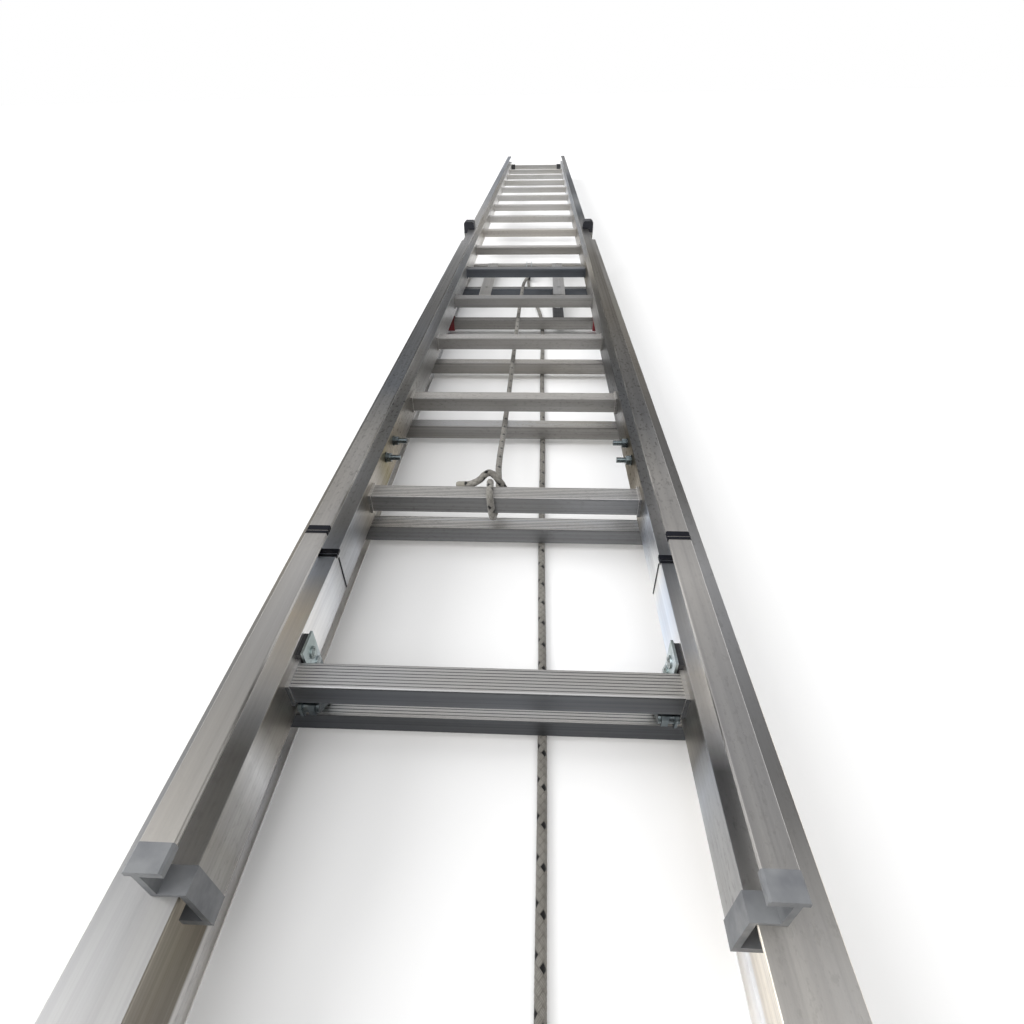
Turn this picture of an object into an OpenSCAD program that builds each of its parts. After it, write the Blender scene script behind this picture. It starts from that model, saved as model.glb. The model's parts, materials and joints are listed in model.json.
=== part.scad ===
// Two-section aluminium extension ladder with rope hoist, lying on the backs of its base rails.
// X is across the ladder, +Y runs up the ladder, +Z points to the climber's side.

/* [Sections] */
// Spacing of the rungs along each section
rung_pitch = 300; // [250:10:300]
// Length of every rail
rail_len = 4768; // [4768:1:4780]
// How far the fly section is pushed up along the base section
extension = 2736; // [36:300:3636]

/* [Fly rail] */
// Half distance between the inner faces of the fly webs
fly_web_x = 184; // [180:1:190]
// Depth of the fly web that the rungs pass through
fly_web_d = 54; // [50:1:56]
// Height of the outer wall that stands on the fly rail's ledge
fly_wall_h = 35; // [30:1:45]
// Width of the front flange of the fly rail
fly_flange_w = 24; // [22:1:28]
// Metal thickness of the fly rail
fly_t = 2.2; // [1.8:0.1:2.4]

/* [Base rail] */
// Overall depth of the base rail
base_d = 115.4; // [115:0.1:116]
// Width of the base rail's front flange
base_flange_w = 51; // [48:1:54]
// Metal thickness of the base rail
base_t = 2.5; // [2:0.1:2.8]

/* [Rungs] */
// Height of a rung along the ladder
rung_h = 28; // [26:1:30]
// Depth of a rung from its front to its rear face
rung_d = 26; // [24:1:28]
// Wall of the hollow rung
rung_t = 1.6; // [1.2:0.1:2]
// Number of grooves in a tread face
rung_grooves = 7; // [4:1:8]

/* [Rope and pulley] */
// Diameter of the hoist rope
rope_d = 10; // [8:1:10]
// Diameter of the pulley axle
axle_d = 8; // [6:1:10]
// Running clearance of bores on their pins, radial
run_gap = 0.05; // [0.02:0.01:0.1]

/* [Hidden] */

aluminium = [0.72, 0.72, 0.72];
zinc = [0.70, 0.76, 0.78];
black = [0.07, 0.07, 0.09];
red = [0.42, 0.05, 0.07];
grey = [0.45, 0.46, 0.48];
rope_white = [0.78, 0.77, 0.74];

// End thicknesses and positions along the ladder
foot_t = 8;
cap_t = 4;
base_y0 = -(foot_t + rail_len + extension + cap_t) / 2 + foot_t;
base_y1 = base_y0 + rail_len;
fly_y0 = base_y0 + extension;
fly_y1 = fly_y0 + rail_len;
fly_first = fly_y0 + 166;      // lower edge of the first fly rung
base_first = base_y0 + 215;    // lower edge of the first base rung

function fly_rung_y(i) = fly_first + (i - 1) * rung_pitch;
function base_rung_y(i) = base_first + (i - 1) * rung_pitch;

// Heights above the surface the ladder lies on
z_fly = 105;                   // front face of the fly rungs
z_base = 41;                   // front face of the base rungs
z_base_front = base_d;         // front of the base rail's front flange
web_z0 = z_fly - 41;           // rear edge of the fly web
ledge_z = web_z0 + fly_web_d;  // front of the fly rail's ledge
flange_z = ledge_z + fly_wall_h;
wall_x = fly_web_x + 23;       // outer face of the fly rail's outer wall
flange_x0 = fly_web_x + 3.5;
flange_x1 = flange_x0 + fly_flange_w;
base_web_x = fly_web_x + 28;   // inner face of the base web
base_fl_x0 = fly_web_x + 5;
base_fl_x1 = base_fl_x0 + base_flange_w;

// Base rungs that carry the red sleeves and the cleat, the brace plates and the pulley
sleeve_rung = 14;
brace_rung = 15;
pulley_rung = 16;

// Pulley
pulley_x = 4;
groove_r = 15.5;
rope_r = rope_d / 2;
wheel_r = 22;
pulley_y = base_rung_y(pulley_rung) - 58;
pulley_z = 25.6;

// Rung lock
lock_y = fly_first;            // the lock's own zero: lower edge of the first fly rung
pivot_y = lock_y + 4;
pivot_z = z_fly - 36;

module at_side(side) { if (side < 0) mirror([1, 0, 0]) children(); else children(); }

// Extrudes an X-Z outline along +Y from y0
module along(y0, len) { translate([0, y0 + len, 0]) rotate([90, 0, 0]) linear_extrude(len) children(); }

// Extrudes a Y-Z outline along +X from x0
module across(x0, len) { translate([x0, 0, 0]) rotate([90, 0, 90]) linear_extrude(len) children(); }

// A round rod along X
module rod_x(x0, len, r, y, z) { translate([x0, y, z]) rotate([0, 90, 0]) cylinder(h = len, r = r, $fn = 40); }

// A hexagon across its corners, along X
module hex_x(x0, len, flats, y, z) { translate([x0, y, z]) rotate([0, 90, 0]) cylinder(h = len, r = flats / 2 / cos(30), $fn = 6); }

// Fly rail section: web, rear flange, ledge, outer wall and lipped front flange
module fly_section() {
  t = fly_t;
  polygon([[fly_web_x, web_z0], [fly_web_x + 21, web_z0], [fly_web_x + 21, web_z0 + t], [fly_web_x + t, web_z0 + t],
    [fly_web_x + t, ledge_z - t], [wall_x, ledge_z - t], [wall_x, flange_z - t], [flange_x1 - 1.7, flange_z - t],
    [flange_x1 - 1.7, flange_z - 4], [flange_x1, flange_z - 4], [flange_x1, flange_z - 0.6], [flange_x1 - 0.6, flange_z],
    [flange_x0 + 0.6, flange_z], [flange_x0, flange_z - 0.6], [flange_x0, flange_z - 4], [flange_x0 + 1.7, flange_z - 4],
    [flange_x0 + 1.7, flange_z - t], [wall_x - t, flange_z - t], [wall_x - t, ledge_z], [fly_web_x + 0.5, ledge_z],
    [fly_web_x, ledge_z - 0.5]]);
}

// Base rail section: front flange that runs inside the fly rail's channel, web, rear flange
module base_section() {
  t = base_t;
  zf = z_base_front;
  polygon([[base_web_x - 7, 0], [base_fl_x1 - 0.6, 0], [base_fl_x1, 0.6], [base_fl_x1, 7], [base_fl_x1 - 2, 7], [base_fl_x1 - 2, t],
    [base_web_x + t, t], [base_web_x + t, zf - t], [base_fl_x1 - 2, zf - t], [base_fl_x1 - 2, zf - 7], [base_fl_x1, zf - 7],
    [base_fl_x1, zf - 0.6], [base_fl_x1 - 0.6, zf], [base_fl_x0 + 0.6, zf], [base_fl_x0, zf - 0.6], [base_fl_x0, zf - t],
    [base_web_x, zf - t], [base_web_x, t], [base_web_x - 7, t]]);
}

// Points of a straight edge from p to q with n shallow grooves cut to its left
function grooved(p, q, n, w = 1.3, d = 0.55) =
  let (l = norm(q - p), u = (q - p) / l, v = [-u[1], u[0]], s = l / n)
  [for (i = [0:n - 1]) for (k = [0:3])
    let (c = (i + 0.5) * s, a = [c - w / 2, c - w / 2 + 0.3, c + w / 2 - 0.3, c + w / 2][k], e = (k == 1 || k == 2) ? d : 0)
    p + u * a + v * e];

// Rung section in Y-Z, lower rear corner at the origin, grooves on the front and top faces and fine ones at the rear
module rung_section(grow = 0) {
  h = rung_h + grow; d = rung_d + grow; c = 2;
  difference() {
    polygon(concat([[c, 0], [h - c, 0], [h - 0.6, 0.6], [h, c]],
      grow == 0 ? grooved([h, c], [h, d - c], rung_grooves) : [],
      [[h, d - c], [h - 0.6, d - 0.6], [h - c, d]],
      grow == 0 ? grooved([h - c, d], [c, d], rung_grooves) : [],
      [[c, d], [0.6, d - 0.6], [0, d - c], [0, c], [0.6, 0.6]]));
    translate([rung_t, rung_t]) square([h - 2 * rung_t, d - 2 * rung_t]);
  }
}

// A ring round the rung, for swaged collars and sleeves
module rung_ring(wall) {
  difference() {
    translate([-wall, -wall]) square([rung_h + 2 * wall, rung_d + 2 * wall]);
    translate([0.01, 0.01]) square([rung_h - 0.02, rung_d - 0.02]);
  }
}
module rung_sleeve_outline(wall, gap = 0.15) {
  c = 3;
  w = wall + gap;
  difference() {
    polygon([[-w + c, -w], [rung_h + w - c, -w], [rung_h + w, -w + c], [rung_h + w, rung_d + w - c],
      [rung_h + w - c, rung_d + w], [-w + c, rung_d + w], [-w, rung_d + w - c], [-w, -w + c]]);
    translate([-gap, -gap]) square([rung_h + 2 * gap, rung_d + 2 * gap]);
  }
}

// A hollow rung with swaged collars on both sides of each web
module rung(y, z_front, web_in, web_t) {
  end = web_in + web_t + 2;
  translate([0, y, z_front - rung_d]) {
    across(-end, 2 * end) rung_section();
    for (s = [-1, 1]) at_side(s) {
      across(web_in - 3.5, 3.5) rung_ring(1.6);
      across(web_in + web_t, 2) rung_ring(1.6);
    }
  }
}

// Square windows in a web for one row of rungs
module rung_windows(first, z_front, web_in, web_t) {
  for (i = [0:15])
    translate([web_in - 1, first + i * rung_pitch - 0.15, z_front - rung_d - 0.15])
      cube([web_t + 2, rung_h + 0.3, rung_d + 0.3]);
}

module fly_rail(side) {
  color(aluminium) at_side(side) difference() {
    along(fly_y0, rail_len) fly_section();
    rung_windows(fly_first, z_fly, fly_web_x, fly_t);
    for (p = guide_bolt_at) rod_x(fly_web_x - 1, fly_t + 2, 4.2, p[0], p[1]);
    for (p = lock_bolt_at) rod_x(fly_web_x - 1, fly_t + 2, 4.2, p[0], p[1]);
  }
}
module fly_rail_left() fly_rail(-1);
module fly_rail_right() fly_rail(1);

module base_rail(side) {
  color(aluminium) at_side(side) difference() {
    along(base_y0, rail_len) base_section();
    rung_windows(base_first, z_base, base_web_x, base_t);
    for (p = foot_bolt_at) rod_x(base_web_x - 1, base_t + 2, 3.2, p[0], p[1]);
    translate([guide_bolt_x, base_y1 - 10, z_base_front - 6]) cylinder(h = 10, r = 3.2, $fn = 40);
  }
}
module base_rail_left() base_rail(-1);
module base_rail_right() base_rail(1);

module fly_rung(i) { color(aluminium) rung(fly_rung_y(i), z_fly, fly_web_x, fly_t); }
module base_rung(i) { color(aluminium) rung(base_rung_y(i), z_base, base_web_x, base_t); }

// Plastic cap over each end of a fly rail. It leaves the base rail's flange free to pass.
module fly_cap_outline() {
  x = fly_web_x; z = ledge_z;
  polygon([[x - 0.9, web_z0 - 0.9], [x + 22, web_z0 - 0.9], [x + 22, web_z0 + 7], [x + 4.2, web_z0 + 7],
    [x + 4.2, z_base_front + 0.4], [wall_x + 1, z_base_front + 0.4], [wall_x + 1, flange_z - 5], [flange_x1 + 0.8, flange_z - 5],
    [flange_x1 + 0.8, flange_z - 0.8], [flange_x1 - 0.8, flange_z + 0.8], [flange_x0 + 0.8, flange_z + 0.8], [flange_x0 - 0.8, flange_z - 0.8],
    [flange_x0 - 0.8, flange_z - 6], [wall_x - 4.2, flange_z - 6], [wall_x - 4.2, z + 1], [x - 0.9, z + 1]]);
}
module fly_end_caps() {
  color(grey) for (s = [-1, 1]) at_side(s) {
    difference() { along(fly_y1 - 14, 14 + cap_t) fly_cap_outline(); along(fly_y1 - 15, 15) fly_section(); }
    difference() { along(fly_y0 - cap_t, 14 + cap_t) fly_cap_outline(); along(fly_y0, 15) fly_section(); }
  }
}

// Black sleeves on the ends of the highest fly rung
module top_rung_sleeves() {
  color(black) for (s = [-1, 1]) at_side(s)
    translate([0, fly_rung_y(16), z_fly - rung_d]) across(fly_web_x - 30, 26) rung_sleeve_outline(4);
}

// Two narrow dark bands, close together, on the climber's side of each fly rail, midway between its first two rungs
band_y = fly_first + 164;
module band_front() {
  x0 = flange_x0; x1 = flange_x1; z = flange_z; t = 0.6;
  polygon([[x1, z - 4], [x1 + t, z - 4], [x1 + t, z - 0.6], [x1 - 0.4, z + t], [x0 + 0.4, z + t], [x0 - t, z - 0.6], [x0 - t, z - 4],
    [x0, z - 4], [x0, z - 0.6], [x0 + 0.6, z], [x1 - 0.6, z], [x1, z - 0.6]]);
}
module band_rear() {
  x = fly_web_x; t = 0.6; w = wall_x - fly_t;
  polygon([[w, ledge_z + 8], [w - t, ledge_z + 8], [w - t, ledge_z + t], [x - t + 0.2, ledge_z + t], [x - t, ledge_z + t - 0.2], [x - t, ledge_z - 3],
    [x, ledge_z - 3], [x, ledge_z - 0.5], [x + 0.5, ledge_z], [w, ledge_z]]);
}
module rail_bands() {
  color(black) for (s = [-1, 1]) at_side(s) {
    for (b = [[0, 3.6], [5.4, 7.4]]) along(band_y + b[0], b[1]) { band_front(); band_rear(); }
    along(band_y + 4.4, 2.4) translate([fly_web_x - 0.6, web_z0]) square([0.6, fly_web_d - 7]);
  }
}

// Nylon shoe in the channel of each fly rail, under the base rail's front flange
shoe_y = fly_first + 386;
shoe_z1 = z_base_front - base_t - 0.4;
guide_bolt_at = [[shoe_y + 20, z_fly - 4], [shoe_y + 70, z_fly - 4]];
module guide_shoes() {
  color([0.85, 0.84, 0.80]) for (s = [-1, 1]) at_side(s) difference() {
    along(shoe_y, 90) polygon([[fly_web_x + fly_t, web_z0 + fly_t], [base_web_x - 1.6, web_z0 + fly_t], [base_web_x - 0.6, web_z0 + fly_t + 1],
      [base_web_x - 0.6, shoe_z1 - 1], [base_web_x - 1.6, shoe_z1], [fly_web_x + fly_t, shoe_z1]]);
    for (p = guide_bolt_at) {
      rod_x(fly_web_x - 1, 30, 4.2, p[0], p[1]);
      rod_x(fly_web_x + 14, 30, 8, p[0], p[1]);
    }
  }
}
// Bolts through shoe and web, with washer and nut inside the ladder
module guide_bolts() {
  color(zinc) for (s = [-1, 1]) at_side(s) for (p = guide_bolt_at) {
    rod_x(fly_web_x - 22, 36 + 0.5, 4, p[0], p[1]);
    hex_x(fly_web_x + 14.5, 5.3, 13, p[0], p[1]);
    difference() {
      union() { rod_x(fly_web_x - 1.6, 1.6, 8, p[0], p[1]); hex_x(fly_web_x - 8.4, 6.8, 13, p[0], p[1]); }
      rod_x(fly_web_x - 10, 12, 4.04, p[0], p[1]);
    }
  }
}

// Rung lock: a plate that stands against the first fly rung and reaches behind it, held off the web by a black spacer
lock_bolt_at = [[lock_y + 46, z_fly - 8], [lock_y + 49, z_fly - 27]];
plate_x0 = fly_web_x - 8;
plate_t = 2.5;
module lock_outline(g = 0) {
  y = lock_y; z = z_fly;
  polygon([[y + 58 - g, z + 10 - g], [y + 58 - g, z - 58 + g], [y + 54 - g, z - 60 + g], [y + 34, z - 60 + g], [y + 15, z - 45], [y, z - 45],
    [y - 3, z - 42], [y - 3, z - 31], [y, z - 28], [y + 30, z - 28], [y + 30, z + 10 - g]]);
}
module lock_plate(side) {
  color(zinc) at_side(side) difference() {
    across(plate_x0, plate_t) lock_outline();
    for (p = lock_bolt_at) rod_x(plate_x0 - 1, plate_t + 2, 4.2, p[0], p[1]);
    rod_x(plate_x0 - 1, plate_t + 2, 4.02, pivot_y, pivot_z);
  }
}
module lock_plate_left() lock_plate(-1);
module lock_plate_right() lock_plate(1);
module lock_spacers() {
  color(black) for (s = [-1, 1]) at_side(s) difference() {
    intersection() {
      across(plate_x0 + plate_t, 8 - plate_t) lock_outline(2);
      translate([plate_x0, lock_y + 12, 0]) cube([20, 60, 200]);
    }
    for (p = lock_bolt_at) rod_x(plate_x0, 20, 4.2, p[0], p[1]);
  }
}
// Two bolts through plate, spacer and web on each side, and the pin that the hook turns on
module lock_bolts() {
  color(zinc) for (s = [-1, 1]) at_side(s) {
    for (p = lock_bolt_at) {
      rod_x(plate_x0 - 0.5, 8.5 + fly_t + 8, 4, p[0], p[1]);
      translate([plate_x0, p[0], p[1]]) rotate([0, -90, 0]) cylinder(h = 1.4, r = 6.5, $fn = 40);
      translate([plate_x0 - 1.4, p[0], p[1]]) rotate([0, -90, 0]) cylinder(h = 1.8, r1 = 6.5, r2 = 3.4, $fn = 40);
      difference() { hex_x(fly_web_x + fly_t, 6, 13, p[0], p[1]); rod_x(fly_web_x, 12, 4.04, p[0], p[1]); }
    }
    rod_x(plate_x0 - 15.4, 15.4 + plate_t, 4, pivot_y, pivot_z);
    rod_x(plate_x0 - 15.7, 3, 5.5, pivot_y, pivot_z);
    rod_x(plate_x0 - 5.7, 5.7, 5.5, pivot_y, pivot_z);
    rod_x(plate_x0 + plate_t, 2.5, 5.5, pivot_y, pivot_z);
  }
}
// Hook that turns on the pin and seats on a base rung
hook_x0 = plate_x0 - 12.4;
module lock_hook(side) {
  y = lock_y; z = z_fly;
  color(zinc) at_side(side) difference() {
    union() {
      across(hook_x0, 6.4) polygon([[y - 2, z - 41], [y - 2, z - 31.5], [y + 0.5, z - 29], [y + 7, z - 29], [y + 13, z - 33], [y + 19, z - 46],
        [y + 56, z - 50], [y + 60, z - 56], [y + 60, z - 63], [y + 52, z - 88], [y + 47, z - 90.5], [y + 41.5, z - 90.5],
        [y + 41.5, z - 62.5], [y + 22, z - 60], [y + 4, z - 45]]);
    }
    rod_x(hook_x0 - 1, 10, 4 + run_gap, pivot_y, pivot_z);
  }
}
module lock_hook_left() lock_hook(-1);
module lock_hook_right() lock_hook(1);

// Black guide on the top end of each base rail, reaching over the fly rail's front flange
guide_bolt_x = base_web_x + 8;
module top_guide(side) {
  x = base_web_x; z = z_base_front; zf = flange_z + 1.2; y = base_y1 - 22;
  color(black) at_side(side) difference() {
    union() {
      along(y, 46) polygon([[x + 2.5, z], [x + 13, z], [x + 14, z + 1], [x + 15, zf - 10], [x + 15, zf + 19], [x + 10, zf + 24],
        [x - 15, zf + 24], [x - 20, zf + 19], [x - 21, zf + 1], [x - 20, zf], [x + 2.5, zf]]);
    }
    translate([guide_bolt_x, base_y1 - 10, z - 1]) cylinder(h = 90, r = 3.2, $fn = 40);
    translate([guide_bolt_x, base_y1 - 10, zf + 17]) cylinder(h = 20, r = 5.8, $fn = 40);
    translate([x - 30, y - 1, zf + 12]) rotate([45, 0, 0]) translate([0, -20, 0]) cube([60, 20, 40]);
  }
}
module top_guide_left() top_guide(-1);
module top_guide_right() top_guide(1);

// Red sleeves on the ends of one base rung, which mark the bay that the cleat is in
module rung_sleeves() {
  color(red) for (s = [-1, 1]) at_side(s)
    translate([0, base_rung_y(sleeve_rung), z_base - rung_d]) across(base_web_x - 22, 18) rung_sleeve_outline(3.2);
}

// Rubber foot on the lower end of each base rail, with a ribbed sole
foot_bolt_at = [[base_y0 + 36, 26], [base_y0 + 36, 54]];
module foot_outline(z1) {
  x0 = base_fl_x0 - 3; x1 = base_fl_x1 + 3;
  polygon([[x0 + 14, 0], [x1 - 2, 0], [x1, 2], [x1, z1 - 2], [x1 - 2, z1], [x0 + 2, z1], [x0, z1 - 2], [x0, z1 - 9], [x0 + 14, z1 - 22]]);
}
module feet() {
  color(black) for (s = [-1, 1]) at_side(s) difference() {
    union() {
      along(base_y0 - foot_t + 3, 21 + foot_t) foot_outline(z_base_front + 3);
      for (k = [0:8]) translate([base_web_x - 9, base_y0 - foot_t, 4 + k * 12.4]) cube([40, 4, 7]);
      translate([base_web_x + base_t, base_y0, 0]) cube([base_fl_x1 - base_web_x - base_t + 3, 56, 70]);
    }
    along(base_y0, 60) base_section();
    translate([base_web_x + base_t + 5, base_y0 + 12, base_t + 4]) cube([60, 60, 90]);
    for (p = foot_bolt_at) rod_x(base_web_x, 12, 3.2, p[0], p[1]);
  }
}
// Bolts of the feet and of the top guides
module base_bolts() {
  color(zinc) for (s = [-1, 1]) at_side(s) {
    for (p = foot_bolt_at) {
      rod_x(base_web_x - 2, 2 + base_t + 5 + 2, 3, p[0], p[1]);
      rod_x(base_web_x - 2.6, 2.6, 6, p[0], p[1]);
      hex_x(base_web_x + base_t + 5, 4, 10, p[0], p[1]);
    }
    translate([guide_bolt_x, base_y1 - 10, z_base_front - base_t - 4]) cylinder(h = flange_z + 18.2 + base_t + 4 - z_base_front, r = 3, $fn = 40);
    translate([guide_bolt_x, base_y1 - 10, flange_z + 18.2]) cylinder(h = 4, r = 5.2, $fn = 40);
    translate([guide_bolt_x, base_y1 - 10, z_base_front - base_t - 4]) cylinder(h = 4, r = 5.3, $fn = 6);
  }
}

// Pulley: two cheek plates threaded on the highest base rung, wheel and axle
module cheek(x0) {
  yr = base_rung_y(pulley_rung);
  difference() {
    across(x0, 2) polygon([[yr + rung_h + 7, z_base + 4], [yr + rung_h + 7, z_base - rung_d - 7], [yr - 6, z_base - rung_d - 7],
      [pulley_y - 7, pulley_z - 9], [pulley_y - 12, pulley_z - 4], [pulley_y - 12, pulley_z + 4], [pulley_y - 7, pulley_z + 9], [yr - 6, z_base + 4]]);
    translate([x0 - 1, yr - 0.2, z_base - rung_d - 0.2]) cube([4, rung_h + 0.4, rung_d + 0.4]);
    rod_x(x0 - 1, 4, axle_d / 2 + 0.02, pulley_y, pulley_z);
  }
}
module pulley_bracket() {
  color(zinc) {
    cheek(pulley_x - 9.5);
    cheek(pulley_x + 7.5);
    yr = base_rung_y(pulley_rung);
    across(pulley_x - 7.5, 15) polygon([[yr + rung_h + 0.6, z_base - rung_d], [yr + rung_h + 0.6, z_base], [yr + rung_h + 3, z_base], [yr + rung_h + 3, z_base - rung_d]]);
  }
}
module pulley_wheel() {
  w = 13;
  color(grey) translate([pulley_x, pulley_y, pulley_z]) rotate([0, 90, 0]) rotate_extrude($fn = 72)
    difference() {
      polygon([[axle_d / 2 + run_gap, -w / 2], [wheel_r - 1, -w / 2], [wheel_r, -w / 2 + 0.8], [wheel_r, w / 2 - 0.8], [wheel_r - 1, w / 2], [axle_d / 2 + run_gap, w / 2]]);
      translate([groove_r + rope_r, 0]) circle(r = rope_r + 0.5, $fn = 48);
      translate([groove_r + rope_r, -rope_r - 0.5]) square([10, 2 * rope_r + 1]);
    }
}
module pulley_axle() {
  color(zinc) {
    rod_x(pulley_x - 11, 22, axle_d / 2, pulley_y, pulley_z);
    rod_x(pulley_x - 12.5, 3, axle_d / 2 + 2.5, pulley_y, pulley_z);
    rod_x(pulley_x + 9.5, 3, axle_d / 2 + 2.5, pulley_y, pulley_z);
  }
}

// Two flat bars that stiffen the highest bay of the base, grooved like the rungs
module brace_plates() {
  y = base_rung_y(brace_rung);
  color(aluminium) for (x = [-143, 86]) difference() {
    translate([0, y - 64, z_base]) union() {
      translate([x, 0, 0]) cube([36, 81 + rung_pitch, 3]);
      for (r = [64 + rung_h / 2, 58 + rung_pitch + 14]) translate([x + 18, r, 0]) cylinder(h = 4.6, r = 4, $fn = 32);
    }
    for (k = [1:5]) translate([x + k * 6 - 0.6, y - 70, z_base + 2.4]) cube([1.2, 600, 3]);
  }
}

// Black cleat between two base rungs, for making the rope fast
module rope_cleat() {
  y = base_rung_y(sleeve_rung) + rung_h;
  color(black) difference() {
    across(83, 29) polygon([[y, z_base - 20], [y + 6, z_base - 24], [y + rung_pitch - rung_h - 6, z_base - 24], [y + rung_pitch - rung_h, z_base - 20],
      [y + rung_pitch - rung_h, z_base - 4], [y + rung_pitch - rung_h - 6, z_base - 1], [y + 6, z_base - 1], [y, z_base - 4]]);
    translate([90, y + 86, z_base - 40]) cube([15, rung_pitch - rung_h - 150, 60]);
    for (k = [1:4]) translate([83 + k * 5.8 - 0.8, y - 1, z_base - 2.2]) cube([1.6, rung_pitch, 3]);
  }
}

// Rope: a tube swept along its own route by parallel rings
function unit(v) = v / norm(v);
function rope_dir(p, i) = unit(p[min(i + 1, len(p) - 1)] - p[max(i - 1, 0)]);
function frames(p, i = 0, prev = [1, 0, 0], out = []) =
  i == len(p) ? out :
  let (t = rope_dir(p, i), n0 = prev - (prev * t) * t,
       n = norm(n0) < 0.05 ? unit(cross(t, [0.3, 0.5, 0.8])) : unit(n0))
  frames(p, i + 1, n, concat(out, [[n, cross(t, n)]]));
module rope_tube(p, r, sides = 10) {
  f = frames(p);
  n = len(p);
  pts = [for (i = [0:n - 1]) for (k = [0:sides - 1]) p[i] + r * (cos(360 * k / sides) * f[i][0] + sin(360 * k / sides) * f[i][1])];
  sidesf = [for (i = [0:n - 2]) for (k = [0:sides - 1]) [i * sides + k, i * sides + (k + 1) % sides, (i + 1) * sides + (k + 1) % sides, (i + 1) * sides + k]];
  polyhedron(points = pts, faces = concat([[for (k = [sides - 1:-1:0]) k]], sidesf, [[for (k = [0:sides - 1]) (n - 1) * sides + k]]), convexity = 10);
}
// Route of the hoist rope: tail along the second fly rung, half hitch round the rope itself, turn round the rung, run to the pulley, half turn on the wheel
hitch_y = fly_rung_y(2);
wrap_r = groove_r + rope_r;
hitch = [[-68, 33.6, 103], [-58, 33.6, 103], [-48, 33.8, 104], [-41, 34.8, 106.5], [-34, 37.5, 110], [-29, 43, 113], [-23, 47.5, 114],
  [-17, 46.5, 112.5], [-10, 42, 107], [-4, 42, 97], [0, 44.5, 82], [-1.5, 46, 69], [-12, 46.5, 62.4], [-19, 45.5, 65.5], [-23.2, 43.5, 73], [-22.8, 41, 86],
  [-21, 37.5, 97], [-20.5, 35.4, 104.8], [-20, 31, 109.4], [-19.5, 24, 110.9], [-19, 14, 110.9], [-18.5, 3, 110.9], [-18, -2.6, 109.5],
  [-17.5, -5.7, 105.2], [-17, -6.1, 99], [-16, -6.1, 84.5], [-15.5, -5.5, 78.4], [-15, -2.2, 74.5], [-14.5, 3.5, 73.1],
  [-13, 14, 73.1], [-12, 30, 73.1], [-11.5, 44, 73], [-12, 80, 72], [-15.5, 124, 69], [-16.5, 175, 65], [-17, 240, 53], [-17, 313, 46.4]];
run = [[-16, 410, 45.4], [-15.7, 480, 45.4], [-15.3, 590, 46.3], [-15, 660, 46.3], [-14.7, 770, 45.4], [-14, 890, 46.3], [-13.5, 960, 46.3], [-12.3, 1060, 45.4],
  [-10, 1190, 46.3], [-7, 1262, 46.3], [1, 1320, 46.2], [4, 1390, 46.1]];
hoist_route = concat([for (p = concat(hitch, run)) [p[0], hitch_y + p[1], p[2]]],
  [for (a = [90:-22.5:-90]) [pulley_x, pulley_y + wrap_r * cos(a), pulley_z + wrap_r * sin(a)]]);
// Route of the falling rope: from the wheel along the surface under the base rungs to the hank
fall_x = 53;
hank_w = 91.2;                 // overall width of the hank
hank_len = 240;
hank_x = fall_x - 40.4;
hank_y = base_rung_y(8) + rung_h + 16;
fall = [[4, 0], [4, -30], [7, -90], [16, -160], [28, -240], [39, -320], [48, -400], [53, -500], [54, -620], [53, -760], [53, -900],
  [54, -1050], [54, -1200], [53, -1350], [53, -1500], [54, -1650], [54, -1800], [53, -1950], [53, -2035]];
fall_route = concat([for (p = fall) [p[0], pulley_y + p[1], 5.1]], [[fall_x, hank_y + hank_len - 22, 6.1]]);
module hoist_rope() { color(rope_white) rope_tube(hoist_route, rope_r); }
module fall_rope() { color(rope_white) rope_tube(fall_route, rope_r); }
// The spare rope, wound into a long hank in line with the ladder and tied round its middle
module rope_hank() {
  r = hank_w / 2;
  color(rope_white) translate([hank_x, hank_y, 0.1]) linear_extrude(43)
    union() {
      translate([0, r]) circle(r = r, $fn = 64);
      translate([0, hank_len - r]) circle(r = r, $fn = 64);
      translate([-r, r]) square([hank_w, hank_len - hank_w]);
    }
}

fly_rail_left();
fly_rail_right();
fly_rung(1);  // fly_rung_01
fly_rung(2);  // fly_rung_02
fly_rung(3);  // fly_rung_03
fly_rung(4);  // fly_rung_04
fly_rung(5);  // fly_rung_05
fly_rung(6);  // fly_rung_06
fly_rung(7);  // fly_rung_07
fly_rung(8);  // fly_rung_08
fly_rung(9);  // fly_rung_09
fly_rung(10);  // fly_rung_10
fly_rung(11);  // fly_rung_11
fly_rung(12);  // fly_rung_12
fly_rung(13);  // fly_rung_13
fly_rung(14);  // fly_rung_14
fly_rung(15);  // fly_rung_15
fly_rung(16);  // fly_rung_16
fly_end_caps();
top_rung_sleeves();
rail_bands();
guide_shoes();
guide_bolts();
lock_plate_left();
lock_plate_right();
lock_spacers();
lock_bolts();
lock_hook_left();
lock_hook_right();
base_rail_left();
base_rail_right();
base_rung(1);  // base_rung_01
base_rung(2);  // base_rung_02
base_rung(3);  // base_rung_03
base_rung(4);  // base_rung_04
base_rung(5);  // base_rung_05
base_rung(6);  // base_rung_06
base_rung(7);  // base_rung_07
base_rung(8);  // base_rung_08
base_rung(9);  // base_rung_09
base_rung(10);  // base_rung_10
base_rung(11);  // base_rung_11
base_rung(12);  // base_rung_12
base_rung(13);  // base_rung_13
base_rung(14);  // base_rung_14
base_rung(15);  // base_rung_15
base_rung(16);  // base_rung_16
top_guide_left();
top_guide_right();
rung_sleeves();
feet();
base_bolts();
pulley_bracket();
pulley_wheel();
pulley_axle();
brace_plates();
rope_cleat();
hoist_rope();
fall_rope();
rope_hank();
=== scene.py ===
import json
import math

import bpy
import numpy as np
from mathutils import Matrix, Vector


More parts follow.
